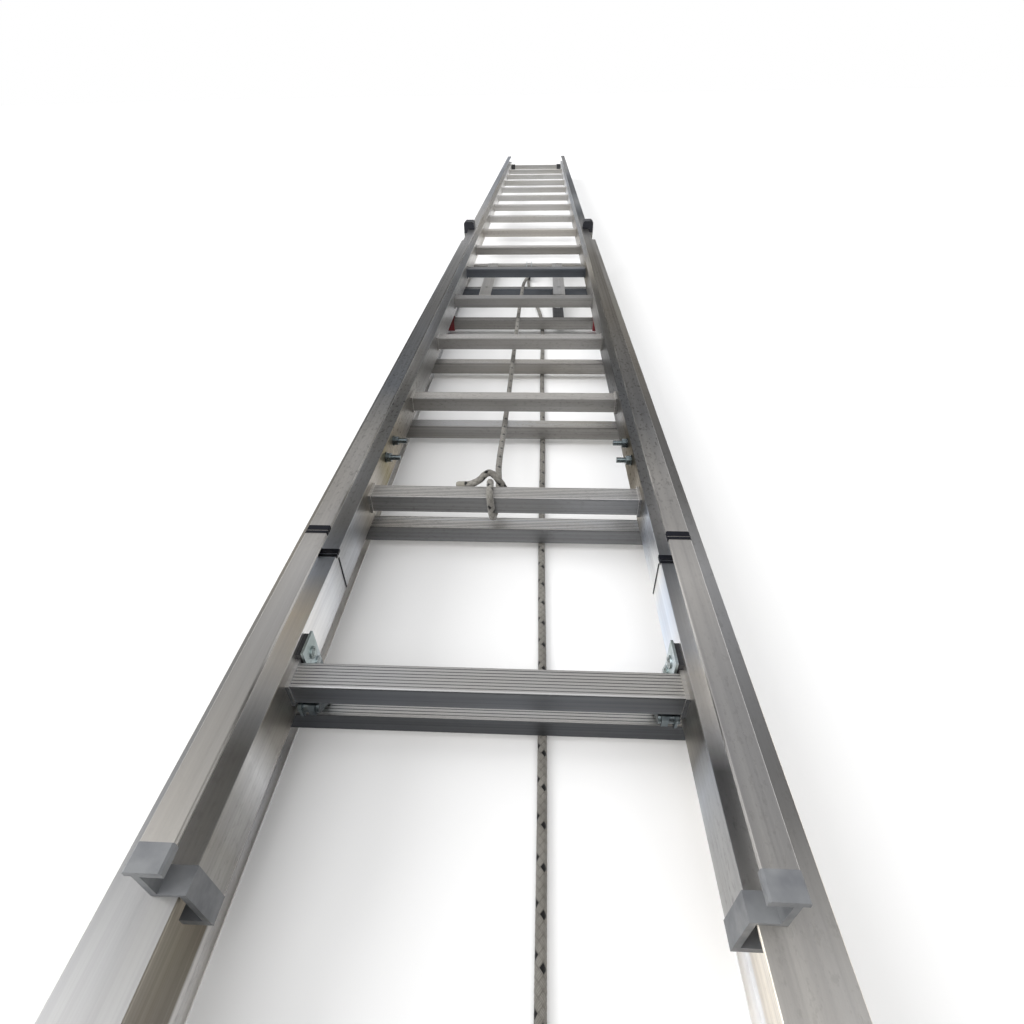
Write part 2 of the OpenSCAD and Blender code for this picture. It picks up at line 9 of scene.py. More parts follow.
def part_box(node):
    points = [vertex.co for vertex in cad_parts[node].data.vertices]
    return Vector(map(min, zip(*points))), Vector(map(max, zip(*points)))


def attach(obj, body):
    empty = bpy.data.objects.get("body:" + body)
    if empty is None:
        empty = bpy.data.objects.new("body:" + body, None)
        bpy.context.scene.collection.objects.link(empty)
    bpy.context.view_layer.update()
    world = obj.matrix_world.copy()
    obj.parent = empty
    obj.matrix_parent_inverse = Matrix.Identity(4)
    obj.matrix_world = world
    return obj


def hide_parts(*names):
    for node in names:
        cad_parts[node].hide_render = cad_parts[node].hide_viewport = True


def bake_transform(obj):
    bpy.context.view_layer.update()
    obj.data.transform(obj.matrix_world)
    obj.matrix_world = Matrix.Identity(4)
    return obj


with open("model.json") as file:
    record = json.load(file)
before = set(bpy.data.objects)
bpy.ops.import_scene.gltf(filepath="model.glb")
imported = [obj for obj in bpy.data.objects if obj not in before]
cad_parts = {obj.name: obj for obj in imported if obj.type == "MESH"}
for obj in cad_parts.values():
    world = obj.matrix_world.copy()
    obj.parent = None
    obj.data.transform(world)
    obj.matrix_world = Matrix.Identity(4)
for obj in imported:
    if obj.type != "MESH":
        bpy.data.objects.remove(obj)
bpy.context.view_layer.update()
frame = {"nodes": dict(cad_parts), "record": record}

scene = bpy.context.scene
nodes = frame["nodes"]

# ---------------------------------------------------------------- camera
cam_data = bpy.data.cameras.new("camera")
cam = bpy.data.objects.new("camera", cam_data)
scene.collection.objects.link(cam)
cam_data.sensor_width = 36
cam_data.lens = 556 * 36 / 1024
cam_data.shift_x = -0.5 / 1024
cam_data.shift_y = -12 / 1024
cam_data.clip_start = 0.02
cam_data.clip_end = 200
cam.matrix_world = Matrix((
    (0.99892705, -0.01502247, 0.04380734, 0.04486),
    (0.04420401, 0.59139265, -0.80517125, -1.14957),
    (-0.01381168, 0.80624379, 0.59142217, 0.54416),
    (0, 0, 0, 1)))
scene.camera = cam
scene.view_settings.view_transform = "Standard"


# ---------------------------------------------------------------- helpers
def lin(r, g, b):
    """A colour given as it looks on a screen, 0 to 255, as linear light."""
    return tuple((c / 255 / 12.92) if c / 255 <= 0.04045 else ((c / 255 + 0.055) / 1.055) ** 2.4 for c in (r, g, b)) + (1.0,)


class Mat:
    """A short way to write node materials."""

    def __init__(self, name):
        self.m = bpy.data.materials.new(name)
        self.m.use_nodes = True
        self.t = self.m.node_tree
        self.b = self.t.nodes["Principled BSDF"]
        self.out = self.t.nodes["Material Output"]
        self._obj = None

    def set(self, **k):
        for n, v in k.items():
            self.b.inputs[n.replace("_", " ")].default_value = v
        return self

    def node(self, kind, **props):
        n = self.t.nodes.new(kind)
        for k, v in props.items():
            setattr(n, k, v)
        return n

    def put(self, sock, value):
        if isinstance(value, bpy.types.NodeSocket):
            self.t.links.new(value, sock)
        elif value is not None:
            sock.default_value = value

    def coords(self, scale=(1, 1, 1), loc=(0, 0, 0)):
        """Object coordinates, which are the frame's own metres, scaled."""
        if self._obj is None:
            self._obj = self.node("ShaderNodeTexCoord").outputs["Object"]
        n = self.node("ShaderNodeMapping")
        n.inputs["Scale"].default_value = scale
        n.inputs["Location"].default_value = loc
        self.put(n.inputs["Vector"], self._obj)
        return n.outputs["Vector"]

    def noise(self, vec, scale=1.0, detail=2.0, rough=0.5, dist=0.0):
        n = self.node("ShaderNodeTexNoise")
        self.put(n.inputs["Vector"], vec)
        n.inputs["Scale"].default_value = scale
        n.inputs["Detail"].default_value = detail
        n.inputs["Roughness"].default_value = rough
        n.inputs["Distortion"].default_value = dist
        return n.outputs["Fac"]

    def voronoi(self, vec, scale=1.0, feature="F1", rand=1.0):
        n = self.node("ShaderNodeTexVoronoi", feature=feature)
        self.put(n.inputs["Vector"], vec)
        n.inputs["Scale"].default_value = scale
        n.inputs["Randomness"].default_value = rand
        return n.outputs["Distance"]

    def math(self, op, a, b=None, c=None, clamp=False):
        n = self.node("ShaderNodeMath", operation=op, use_clamp=clamp)
        self.put(n.inputs[0], a)
        self.put(n.inputs[1], b)
        self.put(n.inputs[2], c)
        return n.outputs[0]

    def ramp(self, fac, stops, mode="LINEAR"):
        n = self.node("ShaderNodeValToRGB")
        n.color_ramp.interpolation = mode
        e = n.color_ramp.elements
        while len(e) < len(stops):
            e.new(0.5)
        for i, (p, c) in enumerate(stops):
            e[i].position = p
            e[i].color = c if hasattr(c, "__len__") else (c, c, c, 1)
        self.put(n.inputs["Fac"], fac)
        return n.outputs["Color"]

    def mix(self, fac, a, b, blend="MIX"):
        n = self.node("ShaderNodeMix", data_type="RGBA", blend_type=blend)
        self.put(n.inputs["Factor"], fac)
        self.put(n.inputs["A"], a)
        self.put(n.inputs["B"], b)
        return n.outputs["Result"]

    def remap(self, v, a0, a1, b0, b1):
        n = self.node("ShaderNodeMapRange", clamp=True)
        self.put(n.inputs["Value"], v)
        for k, x in zip(("From Min", "From Max", "To Min", "To Max"), (a0, a1, b0, b1)):
            n.inputs[k].default_value = x
        return n.outputs["Result"]

    def bump(self, height, dist, strength=1.0, normal=None):
        n = self.node("ShaderNodeBump")
        self.put(n.inputs["Height"], height)
        n.inputs["Distance"].default_value = dist
        n.inputs["Strength"].default_value = strength
        self.put(n.inputs["Normal"], normal)
        return n.outputs["Normal"]

    def axis(self, i):
        if self._obj is None:
            self.coords()
        n = self.node("ShaderNodeSeparateXYZ")
        self.put(n.inputs[0], self._obj)
        return n.outputs[i]

    def normal_axis(self, i):
        g = self.node("ShaderNodeTexCoord").outputs["Normal"]
        n = self.node("ShaderNodeSeparateXYZ")
        self.put(n.inputs[0], g)
        return n.outputs[i]


def mesh_object(name, verts, faces, body, smooth=True):
    me = bpy.data.meshes.new(name)
    me.from_pydata([tuple(v) for v in verts], [], [tuple(int(i) for i in f) for f in faces])
    me.validate()
    me.update()
    if smooth:
        me.polygons.foreach_set("use_smooth", [True] * len(me.polygons))
    o = bpy.data.objects.new(name, me)
    scene.collection.objects.link(o)
    if body:
        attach(o, body)
    return o


def assign(material, *names):
    for n in names:
        me = nodes[n].data
        me.materials.clear()
        me.materials.append(material)


# ---------------------------------------------------------------- materials
Y_LO, Y_HI = -3.80, 3.80


def along_ramp(m, stops):
    """Greys given at places along the ladder, each as metres, reflectance and warmth. They are painted reflections and
    shade.
    """
    t = m.remap(m.axis(1), Y_LO, Y_HI, 0, 1)
    return m.ramp(t, [((y - Y_LO) / (Y_HI - Y_LO), g(v, warm)) for y, v, warm in stops])


def sided(m, left, right):
    """The two rails carry different painted reflections and shade."""
    return m.mix(m.remap(m.axis(0), -0.02, 0.02, 0, 1), along_ramp(m, left), along_ramp(m, right))


def aluminium(name, run, tint, dirt, rough=0.34, seed=0.0, grain=1.0, zones=None):
    """Mill-finish extruded aluminium: die lines along the extrusion, soft blotches of oxide, small pits and smears."""
    m = Mat(name)
    s = [420.0] * 3
    s[run] = 1.2
    lines = m.noise(m.coords(s, (seed, seed, seed)), 1.0, 3.0, 0.6)
    s = [90.0] * 3
    s[run] = 0.8
    streaks = m.noise(m.coords(s, (seed + 3, seed, 1)), 1.0, 2.0, 0.5)
    s = [7.0] * 3
    s[run] = 2.4
    cloud = m.noise(m.coords(s, (seed, seed + 7, 0)), 1.0, 3.0, 0.55)
    speck = m.noise(m.coords((230, 110, 230) if run == 1 else (110, 230, 230), (seed, 0, 0)), 1.0, 4.0, 0.65)
    speck_where = m.noise(m.coords((4, 3, 4), (seed, 0, 5)), 1.0, 2.0, 0.5)
    base = tint if zones is None else zones(m, tint)
    if zones:
        # the painted reflections and shade of the zones stay dark at a glancing angle too
        edge = m.node("ShaderNodeMix", data_type="RGBA", blend_type="MULTIPLY", clamp_result=True)
        m.put(edge.inputs["Factor"], 1.0)
        m.put(edge.inputs["A"], base)
        m.put(edge.inputs["B"], (3.3, 3.3, 3.3, 1))
        m.put(m.b.inputs["Specular Tint"], edge.outputs["Result"])
    base = m.mix(m.remap(streaks, 0.35, 0.65, 0, 1), base, m.mix(1.0, base, (0.86, 0.86, 0.87, 1), "MULTIPLY"))
    base = m.mix(m.remap(cloud, 0.40, 0.64, 0, 1), base, m.mix(1.0, base, (0.88, 0.86, 0.82, 1), "MULTIPLY"))
    spots = m.math("MULTIPLY", m.remap(speck, 0.54, 0.66, 0, 1), m.math("MULTIPLY", m.remap(speck_where, 0.42, 0.62, 0, dirt), m.remap(m.axis(1), -0.70, -0.52, 0.40, 1.0)))
    base = m.mix(spots, base, lin(58, 54, 48))
    base = m.mix(m.remap(lines, 0.42, 0.64, 0, 0.22 * grain), base, m.mix(1.0, base, (0.5, 0.5, 0.5, 1), "MULTIPLY"))
    m.put(m.b.inputs["Base Color"], base)
    r = m.math("ADD", m.remap(lines, 0.3, 0.7, rough - 0.05, rough + 0.08), m.remap(cloud, 0.35, 0.7, -0.03, 0.10))
    m.put(m.b.inputs["Roughness"], m.math("ADD", r, m.math("MULTIPLY", spots, 0.3), clamp=True))
    n = m.bump(lines, 0.00006 * grain, 0.6)
    n = m.bump(cloud, 0.0006, 0.10, n)
    m.put(m.b.inputs["Normal"], n)
    m.set(Metallic=1.0)
    return m.m


def g(v, warm=0.0):
    """A grey of that reflectance, warmer above 0 and bluer below."""
    return (v * (1 + 0.10 * warm), v, v * (1 - 0.16 * warm), 1)


def fly_zones(m, tint):
    """Each face of the fly rail carries painted reflections and shade of its own, in long patches along the ladder."""
    flange = sided(
        m,
        [(-1.1, .50, .4), (-.88, .50, .2), (-.72, .76, .2), (-.64, .60, .3), (-.48, .55, .2), (-.40, .39, 0), (-.30, .25, -.5), (.10, .22, .1),
         (.35, .27, 0), (.60, .34, -.2), (.85, .59, -.1), (1.3, .63, .1), (1.9, .45, -.6), (2.5, .37, -.8), (3.7, .48, -1)],
        [(-1.1, .47, .3), (-.88, .57, .2), (-.74, .82, .3), (-.64, .57, .3), (-.56, .55, .3), (-.48, .38, .1), (-.40, .23, 0), (.10, .24, .4),
         (.60, .26, .3), (.85, .37, .2), (1.3, .19, -.3), (1.6, .35, -.4), (1.9, .20, -.2), (2.5, .23, -.4), (3.1, .38, -.2), (3.7, .30, -.2)])
    ledge = sided(
        m,
        [(-1.1, .60, 0), (-.92, .40, -.1), (-.88, .67, -.4), (-.85, 1, 0), (-.76, 1, .9), (-.72, .77, -.6), (-.68, .54, -.8), (-.62, .50, -.2),
         (-.46, .66, -.4), (-.30, .44, -.4), (-.12, .70, -.2), (.10, .50, -.4), (.40, .56, -.6), (.60, .72, -.9), (.80, .74, -.5), (1.3, .95, .3), (3.7, 1, -.4)],
        [(-1.1, .75, 0), (-1.0, .48, 0), (-.95, .30, -.1), (-.92, .23, -.1), (-.88, .85, -.2), (-.84, 1, .5), (-.80, .87, -.3), (-.76, .90, -.1), (-.72, .72, -.3), (-.68, .38, -.6),
         (-.62, .60, 0), (-.54, .52, -.2), (-.46, .42, -.2), (-.30, .35, -.5), (.10, .36, -.1), (.40, .42, .1), (.60, 1, .1), (.80, .86, -.3),
         (1.3, .90, -.6), (1.9, 1, -.6), (3.7, 1, -.3)])
    web = sided(
        m,
        [(-1.1, .40, .3), (-.96, .28, .3), (-.92, .73, 0), (-.88, .19, 1.4), (-.84, .50, .5), (-.80, 1, .2), (-.76, 1, 0), (-.72, .88, -.2),
         (-.68, .48, -.1), (-.62, .68, -.4), (-.56, .38, .9), (-.52, .59, .5), (-.46, .26, 1.6), (-.40, .48, 1.3), (-.30, .41, .3), (-.10, .30, -.1),
         (.10, .52, -.1), (.45, .70, -.2), (.60, .68, 0), (.90, .86, .2), (1.3, .52, .4), (1.6, .53, .2), (1.9, .89, .2), (2.2, 1, 0), (3.7, 1, 0)],
        [(-1.1, .42, 0), (-.96, .38, 0), (-.92, .42, -.6), (-.88, .16, .9), (-.84, .51, .3), (-.80, 1, .1), (-.76, .90, -.9), (-.72, .84, -.9),
         (-.68, 1, .1), (-.64, .89, -.3), (-.60, .78, -.8), (-.56, .24, .6), (-.52, .26, .6), (-.46, .13, .7), (-.40, .18, .8), (-.30, .27, 0),
         (-.20, .15, 0), (-.10, .20, -.1), (.10, .23, 0), (.25, .64, .1), (.45, .54, .2), (.60, .23, .6), (.90, .41, .3), (1.3, .36, .5), (1.6, .38, .1),
         (1.9, .73, -.2), (2.2, .83, -.3), (2.8, .98, -.2), (3.7, .90, -.2)])
    wall = sided(
        m,
        [(-1.1, .13, .1), (-.88, .12, .1), (-.80, .36, .2), (-.72, .54, .4), (-.50, .60, .3), (-.40, .54, 0), (-.30, .39, -.4), (-.10, .75, -.1), (.10, .47, -.1), (.35, .53, -.3),
         (.60, .48, -.4), (1.3, .66, .3), (1.9, .56, -.2), (3.7, .60, -.8)],
        [(-1.1, .36, .6), (-.88, .42, .2), (-.80, .64, .3), (-.50, .62, .2), (-.40, .31, -.1), (.10, .32, .4), (.60, .39, .3), (.85, .32, .3), (1.3, .16, -.6),
         (1.9, .30, -.3), (2.5, .60, -.3), (3.7, .64, .1)])
    x = m.math("ABSOLUTE", m.axis(0))
    z = m.axis(2)
    nx = m.math("ABSOLUTE", m.normal_axis(0))
    nz = m.normal_axis(2)
    # painted light: the wall in the hollow under the front flange, where shade falls, is made bright
    cavity_painted_light = m.math("MULTIPLY", m.remap(x, 0.2050, 0.2065, 1, 0), m.remap(x, 0.1990, 0.2000, 0, 1))
    wall = m.mix(cavity_painted_light, wall, g(.92, .1))
    base = m.mix(m.remap(nx, 0.5, 0.6, 0, 1), ledge, m.mix(m.remap(x, 0.194, 0.196, 0, 1), web, wall))
    base = m.mix(m.remap(z, 0.1480, 0.1490, 0, 1), base, flange)
    # painted light: the underside of the front flange over that hollow is made bright too
    return m.mix(m.math("MULTIPLY", m.remap(z, 0.1400, 0.1420, 0, 1), m.remap(nz, -0.4, -0.6, 0, 1)), base, g(.92, .1))


def base_zones(m, tint):
    # the greys along the flange and the web are painted reflections and shade
    flange = sided(
        m,
        [(-3.7, .45, .2), (-.84, .38, 0), (-.76, .42, .3), (-.68, .46, .5), (-.55, .35, .4), (-.42, .30, .2), (-.25, .19, -.1), (.10, .17, .1),
         (.35, .23, -.1), (.60, .32, -.3), (1.02, .42, -.1)],
        [(-3.7, .55, .2), (-1.05, .60, .3), (-.98, .42, .3), (-.94, .30, .3), (-.87, .35, .1), (-.78, .49, 0), (-.68, .57, 0), (-.55, .28, .1), (-.42, .24, .2), (-.30, .24, .4), (-.10, .28, .5),
         (.35, .31, .5), (1.02, .38, .4)])
    web = sided(
        m,
        [(-3.7, .50, .3), (-1.1, .40, .8), (-.92, .15, 1), (-.88, .43, 1.2), (-.84, .40, 1), (-.80, .21, .6), (-.74, .76, .7), (-.68, .57, .8),
         (-.64, .22, .4), (-.60, .36, .5), (-.54, .43, .3), (-.48, .25, .5), (-.40, .34, 1.3), (-.30, .58, .5), (-.20, .39, .3), (-.05, .14, .1), (.10, .20, -.3), (.30, .46, -.5),
         (.50, .64, -.2), (.70, .58, -.2), (1.02, .76, -.2)],
        [(-3.7, .60, .3), (-1.1, .95, .5), (-.88, 1, .8), (-.80, .95, .5), (-.76, .74, -.2), (-.68, 1, .2), (-.54, 1, .2), (-.48, 1, .1),
         (-.30, 1, -.2), (-.20, .56, -.2), (-.05, 1, -.3), (.30, .90, -.2), (.70, .70, .3), (1.02, .90, .1)])
    nx = m.math("ABSOLUTE", m.normal_axis(0))
    base = m.mix(m.remap(nx, 0.5, 0.6, 0, 1), flange, web)
    # painted light: the web's foot and its lip sit in a narrow gap beside the floor, where shade falls, and are made
    # bright
    foot = m.math("MULTIPLY", m.remap(m.axis(2), 0.010, 0.014, 1, 0), m.remap(m.math("ABSOLUTE", m.axis(0)), 0.2145, 0.2150, 1, 0))
    return m.mix(foot, base, g(1.0, 0))


def rung_zones(m, tint):
    """The face turned to the ladder's foot is darker: painted shade. The greys along the rungs, on every face, are
    painted reflections and shade.
    """
    top = along_ramp(m, [(-3.6, .70, .1), (-.90, .72, .1), (-.60, .90, .1), (-.2, .95, .2), (.1, .78, .2), (.36, .36, .1), (.7, .37, .1), (1.0, .58, .1), (1.3, .74, .1), (3.7, .85, .1)])
    under = along_ramp(m, [(-3.6, .20, -.1), (-.82, .155, -.4), (-.60, .25, -.3), (-.25, .31, .2), (.1, .38, .3), (.36, .34, .1), (.5, .28, -.2),
                           (.66, .17, -.9), (.8, .32, 0), (.96, .52, .3), (1.25, .66, .4), (1.6, .56, .2), (3.7, .50, .1)])
    # painted light and shade: the base section's rungs, behind the fly section, get lighter upper faces and darker
    # faces towards the ladder's foot
    base_rungs_painted_light_and_shade = m.remap(m.axis(2), 0.050, 0.070, 1, 0)
    top = m.mix(base_rungs_painted_light_and_shade, top, m.mix(1.0, top, (1.30, 1.30, 1.30, 1), "MULTIPLY"))
    under = m.mix(base_rungs_painted_light_and_shade, under, m.mix(1.0, under, (0.84, 0.84, 0.84, 1), "MULTIPLY"))
    # painted shade: the faces turned to the ladder's foot take the darker greys
    down = m.remap(m.normal_axis(1), -0.20, -0.50, 0, 1)
    return m.mix(down, top, under)


ALU_FLY = aluminium("fly_rail", 1, g(.6), 0.55, 0.33, 0.0, 0.55, zones=fly_zones)
ALU_BASE = aluminium("base_rail", 1, g(.5), 0.5, 0.36, 11.0, 0.6, zones=base_zones)
ALU_RUNG = aluminium("rung", 0, g(.8), 0.22, 0.38, 5.0, zones=rung_zones)
ALU_BRACE = aluminium("brace", 1, g(.72), 0.25, 0.36, 8.0)


def zinc(name, colour, rough, dark_below=None):
    """Bright zinc plate. Below the given height, in metres, it is darker; on the lock parts that darkening is painted
    shade, where they sit under the first fly rung.
    """
    m = Mat(name)
    spangle = m.noise(m.coords((160, 160, 160)), 1.0, 4.0, 0.6)
    cloud = m.noise(m.coords((28, 28, 28), (2, 0, 0)), 1.0, 2.0, 0.5)
    base = m.mix(m.remap(cloud, 0.38, 0.65, 0, 1), colour, lin(166, 178, 176))
    base = m.mix(m.remap(spangle, 0.5, 0.75, 0, 0.35), base, lin(150, 160, 168))
    if dark_below:
        # darker below the given height; on the lock parts this is painted shade
        darkened_below = m.math("MULTIPLY", m.remap(m.axis(2), dark_below - 0.001, dark_below + 0.001, 1, 0), m.remap(cloud, 0.30, 0.55, 1.0, 0.75))
        base = m.mix(darkened_below, base, lin(70, 78, 82))
    m.put(m.b.inputs["Base Color"], base)
    m.put(m.b.inputs["Roughness"], m.remap(spangle, 0.3, 0.7, rough - 0.05, rough + 0.12))
    m.put(m.b.inputs["Normal"], m.bump(spangle, 0.00012, 0.35))
    m.set(Metallic=1.0)
    return m.m


ZINC = zinc("zinc_plate", lin(206, 216, 220), 0.36)
FASTENER = zinc("fastener", lin(200, 206, 208), 0.26)


def plastic(name, colour, colour2, rough, bump=0.0002, scale=900, sub=0.0):
    m = Mat(name)
    fine = m.noise(m.coords((scale, scale, scale)), 1.0, 3.0, 0.55)
    cloud = m.noise(m.coords((35, 35, 35), (1, 4, 0)), 1.0, 3.0, 0.6)
    m.put(m.b.inputs["Base Color"], m.mix(m.remap(cloud, 0.38, 0.66, 0, 1), colour, colour2))
    m.put(m.b.inputs["Roughness"], m.remap(cloud, 0.3, 0.7, rough - 0.07, rough + 0.1))
    m.put(m.b.inputs["Normal"], m.bump(fine, bump, 0.3))
    return m.m


BLACK = plastic("black_plastic", lin(30, 30, 33), lin(46, 46, 48), 0.42)


def guide_material():
    """A black moulded head on a bare metal post."""
    m = Mat("top_guide")
    fine = m.noise(m.coords((900, 900, 900)), 1.0, 3.0, 0.55)
    cloud = m.noise(m.coords((35, 35, 35), (1, 4, 0)), 1.0, 3.0, 0.6)
    lines = m.noise(m.coords((300, 300, 8)), 1.0, 2.0, 0.5)
    head = m.remap(m.axis(2), 0.1415, 0.1418, 0, 1)
    black = m.mix(m.remap(cloud, 0.38, 0.66, 0, 1), lin(16, 17, 24), lin(30, 31, 42))
    metal = m.mix(m.remap(lines, 0.4, 0.65, 0, 1), lin(160, 160, 156), lin(128, 128, 124))
    m.put(m.b.inputs["Base Color"], m.mix(head, metal, black))
    m.put(m.b.inputs["Metallic"], m.remap(m.axis(2), 0.1415, 0.1418, 1, 0))
    m.put(m.b.inputs["Roughness"], m.remap(cloud, 0.3, 0.7, 0.34, 0.52))
    m.put(m.b.inputs["Normal"], m.bump(fine, 0.0002, 0.3))
    return m.m


GUIDE = guide_material()
CAP = plastic("end_cap", lin(120, 122, 124), lin(98, 100, 104), 0.5)
BAND = plastic("band", lin(8, 9, 16), lin(13, 15, 25), 0.45)
BAND.node_tree.nodes["Principled BSDF"].inputs["Specular IOR Level"].default_value = 0.22
NYLON = plastic("nylon", lin(222, 219, 210), lin(204, 200, 188), 0.45)
RED = plastic("red_plastic", lin(118, 14, 24), lin(92, 10, 18), 0.38)
RUBBER = plastic("rubber", lin(36, 36, 36), lin(58, 56, 53), 0.75, 0.0005, 500)
PULLEY = plastic("pulley", lin(96, 97, 100), lin(76, 77, 80), 0.38)

SLOT_MATERIAL = {"fly_rail": ALU_FLY, "base_rail": ALU_BASE, "rung": ALU_RUNG, "brace": ALU_BRACE, "zinc_plate": ZINC,
                 "fastener": FASTENER, "black_plastic": BLACK, "end_cap": CAP, "band": BAND, "nylon": NYLON,
                 "red_plastic": RED, "rubber": RUBBER, "pulley": PULLEY}
for part in frame["record"]["subparts"]:
    if part["material_slot"] in SLOT_MATERIAL:
        assign(SLOT_MATERIAL[part["material_slot"]], part["node"])

assign(GUIDE, "top_guide_left", "top_guide_right")
# painted shade: the lock parts below 0.079 m, under the first fly rung, are darker
assign(zinc("lock_zinc", lin(206, 216, 220), 0.34, 0.079), "lock_plate_left", "lock_plate_right", "lock_hook_left", "lock_hook_right")
assign(zinc("lock_fastener", lin(200, 206, 208), 0.26, 0.079), "lock_bolts")
assign(zinc("guide_fastener", lin(132, 136, 138), 0.22, 0.150), "guide_bolts")

# ---------------------------------------------------------------- rope
ROPE_R = 0.0050
PITCH = 0.034
TWIST = 0.07


def curve_through(points, step):
    """A smooth line through the points, with its own points step apart."""
    p = np.array(points, float)
    p = np.vstack([2 * p[0] - p[1], p, 2 * p[-1] - p[-2]])
    out = []
    for i in range(1, len(p) - 2):
        p0, p1, p2, p3 = p[i - 1:i + 3]
        d0, d1, d2 = (max(np.linalg.norm(b - a), 1e-9) ** 0.5 for a, b in ((p0, p1), (p1, p2), (p2, p3)))
        m1 = (p1 - p0) / d0 - (p2 - p0) / (d0 + d1) + (p2 - p1) / d1
        m2 = (p2 - p1) / d1 - (p3 - p1) / (d1 + d2) + (p3 - p2) / d2
        m1, m2 = m1 * d1, m2 * d1
        n = max(2, int(np.linalg.norm(p2 - p1) / (step * 0.4)))
        t = np.linspace(0, 1, n, endpoint=False)[:, None]
        out.append((2 * t ** 3 - 3 * t ** 2 + 1) * p1 + (t ** 3 - 2 * t ** 2 + t) * m1 + (-2 * t ** 3 + 3 * t ** 2) * p2 + (t ** 3 - t ** 2) * m2)
    return respaced(np.vstack(out + [p[-2:-1]]), step)


def respaced(line, step):
    along = np.concatenate([[0], np.cumsum(np.linalg.norm(np.diff(line, axis=0), axis=1))])
    at = np.linspace(0, along[-1], max(2, int(round(along[-1] / step)) + 1))
    return np.stack([np.interp(at, along, line[:, k]) for k in range(3)], axis=1)


def smoothed(line, rounds):
    line = line.copy()
    for _ in range(rounds):
        line[1:-1] = 0.25 * line[:-2] + 0.5 * line[1:-1] + 0.25 * line[2:]
    return line


def braided(name, line, body, sides=24, start_v=0.0, tip=0.012, tips=(True, True), spin=0.0):
    """A tube of 8-plait braid along the line, turned about it by spin turns. Its UV is turns round the rope and pitches along it."""
    n = len(line)
    d = np.gradient(line, axis=0)
    d /= np.linalg.norm(d, axis=1)[:, None]
    seg = np.concatenate([[0], np.cumsum(np.linalg.norm(np.diff(line, axis=0), axis=1))])
    v = start_v + seg / PITCH
    normal = np.array([1.0, 0, 0])
    N = np.zeros((n, 3))
    for i in range(n):
        normal = normal - normal.dot(d[i]) * d[i]
        normal /= np.linalg.norm(normal)
        N[i] = normal
    B = np.cross(d, N)
    th = np.arange(sides) / sides * 2 * math.pi
    u = 1 - th / (2 * math.pi)
    a = 4 * (u[None, :] - TWIST - v[:, None])
    b = 4 * (u[None, :] - TWIST + v[:, None])
    relief = np.abs(np.cos(math.pi * a) * np.cos(math.pi * b)) ** 0.6
    r = ROPE_R - 0.00040 + 0.00038 * relief
    ends = np.ones(n)
    for flag, dist in ((tips[0], seg), (tips[1], seg[-1] - seg)):
        if flag:
            ends *= np.clip(0.62 + 0.38 * np.sqrt(np.clip(dist / 0.004, 0, 1)), 0, 1)
            inside = dist < tip
            r[inside] = ROPE_R - 0.00012
    r = r * ends[:, None]
    to = th + 2 * math.pi * spin
    co = line[:, None, :] + r[..., None] * (np.cos(to)[None, :, None] * N[:, None, :] + np.sin(to)[None, :, None] * B[:, None, :])
    verts = np.vstack([co.reshape(-1, 3), line[:1] - d[:1] * 0.0006, line[-1:] + d[-1:] * 0.0006])
    i = np.arange(n - 1)[:, None] * sides
    k = np.arange(sides)[None, :]
    k2 = (k + 1) % sides
    quads = np.stack([i + k, i + k2, i + sides + k2, i + sides + k], axis=-1).reshape(-1, 4)
    tri0 = np.stack([np.full(sides, n * sides), k2[0], k[0]], axis=-1)
    tri1 = np.stack([np.full(sides, n * sides + 1), (n - 1) * sides + k[0], (n - 1) * sides + k2[0]], axis=-1)
    me = bpy.data.meshes.new(name)
    nq, nt = len(quads), 2 * sides
    loops = np.concatenate([quads.reshape(-1), tri0.reshape(-1), tri1.reshape(-1)]).astype(np.int32)
    me.vertices.add(len(verts))
    me.vertices.foreach_set("co", verts.astype(np.float32).reshape(-1))
    me.loops.add(len(loops))
    me.loops.foreach_set("vertex_index", loops)
    me.polygons.add(nq + nt)
    start = np.concatenate([np.arange(nq) * 4, nq * 4 + np.arange(nt) * 3]).astype(np.int32)
    me.polygons.foreach_set("loop_start", start)
    me.update(calc_edges=True)
    me.polygons.foreach_set("use_smooth", [True] * (nq + nt))
    uv = np.zeros((len(loops), 2), np.float32)
    col = np.tile(np.arange(sides), n - 1)
    row = np.repeat(np.arange(n - 1), sides)
    ul, ur = 1 - col / sides, 1 - (col + 1) / sides
    vl, vr = v[row], v[row + 1]
    uv[:nq * 4] = np.stack([ul, vl, ur, vl, ur, vr, ul, vr], axis=-1).reshape(-1, 2)
    uv[nq * 4:nq * 4 + sides * 3] = (0.03, v[0])
    uv[nq * 4 + sides * 3:] = (0.03, v[-1])
    layer = me.uv_layers.new(name="braid")
    layer.data.foreach_set("uv", uv.reshape(-1))
    tips_attr = me.attributes.new("whipping", "FLOAT", "POINT")
    w = np.zeros(n)
    if tips[0]:
        w = np.maximum(w, (seg < tip).astype(float))
    if tips[1]:
        w = np.maximum(w, (seg[-1] - seg < tip).astype(float))
    tips_attr.data.foreach_set("value", np.concatenate([np.repeat(w, sides), [w[0], w[-1]]]).astype(np.float32))
    me.validate()
    o = bpy.data.objects.new(name, me)
    scene.collection.objects.link(o)
    me.materials.append(ROPE)
    if body:
        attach(o, body)
    return o


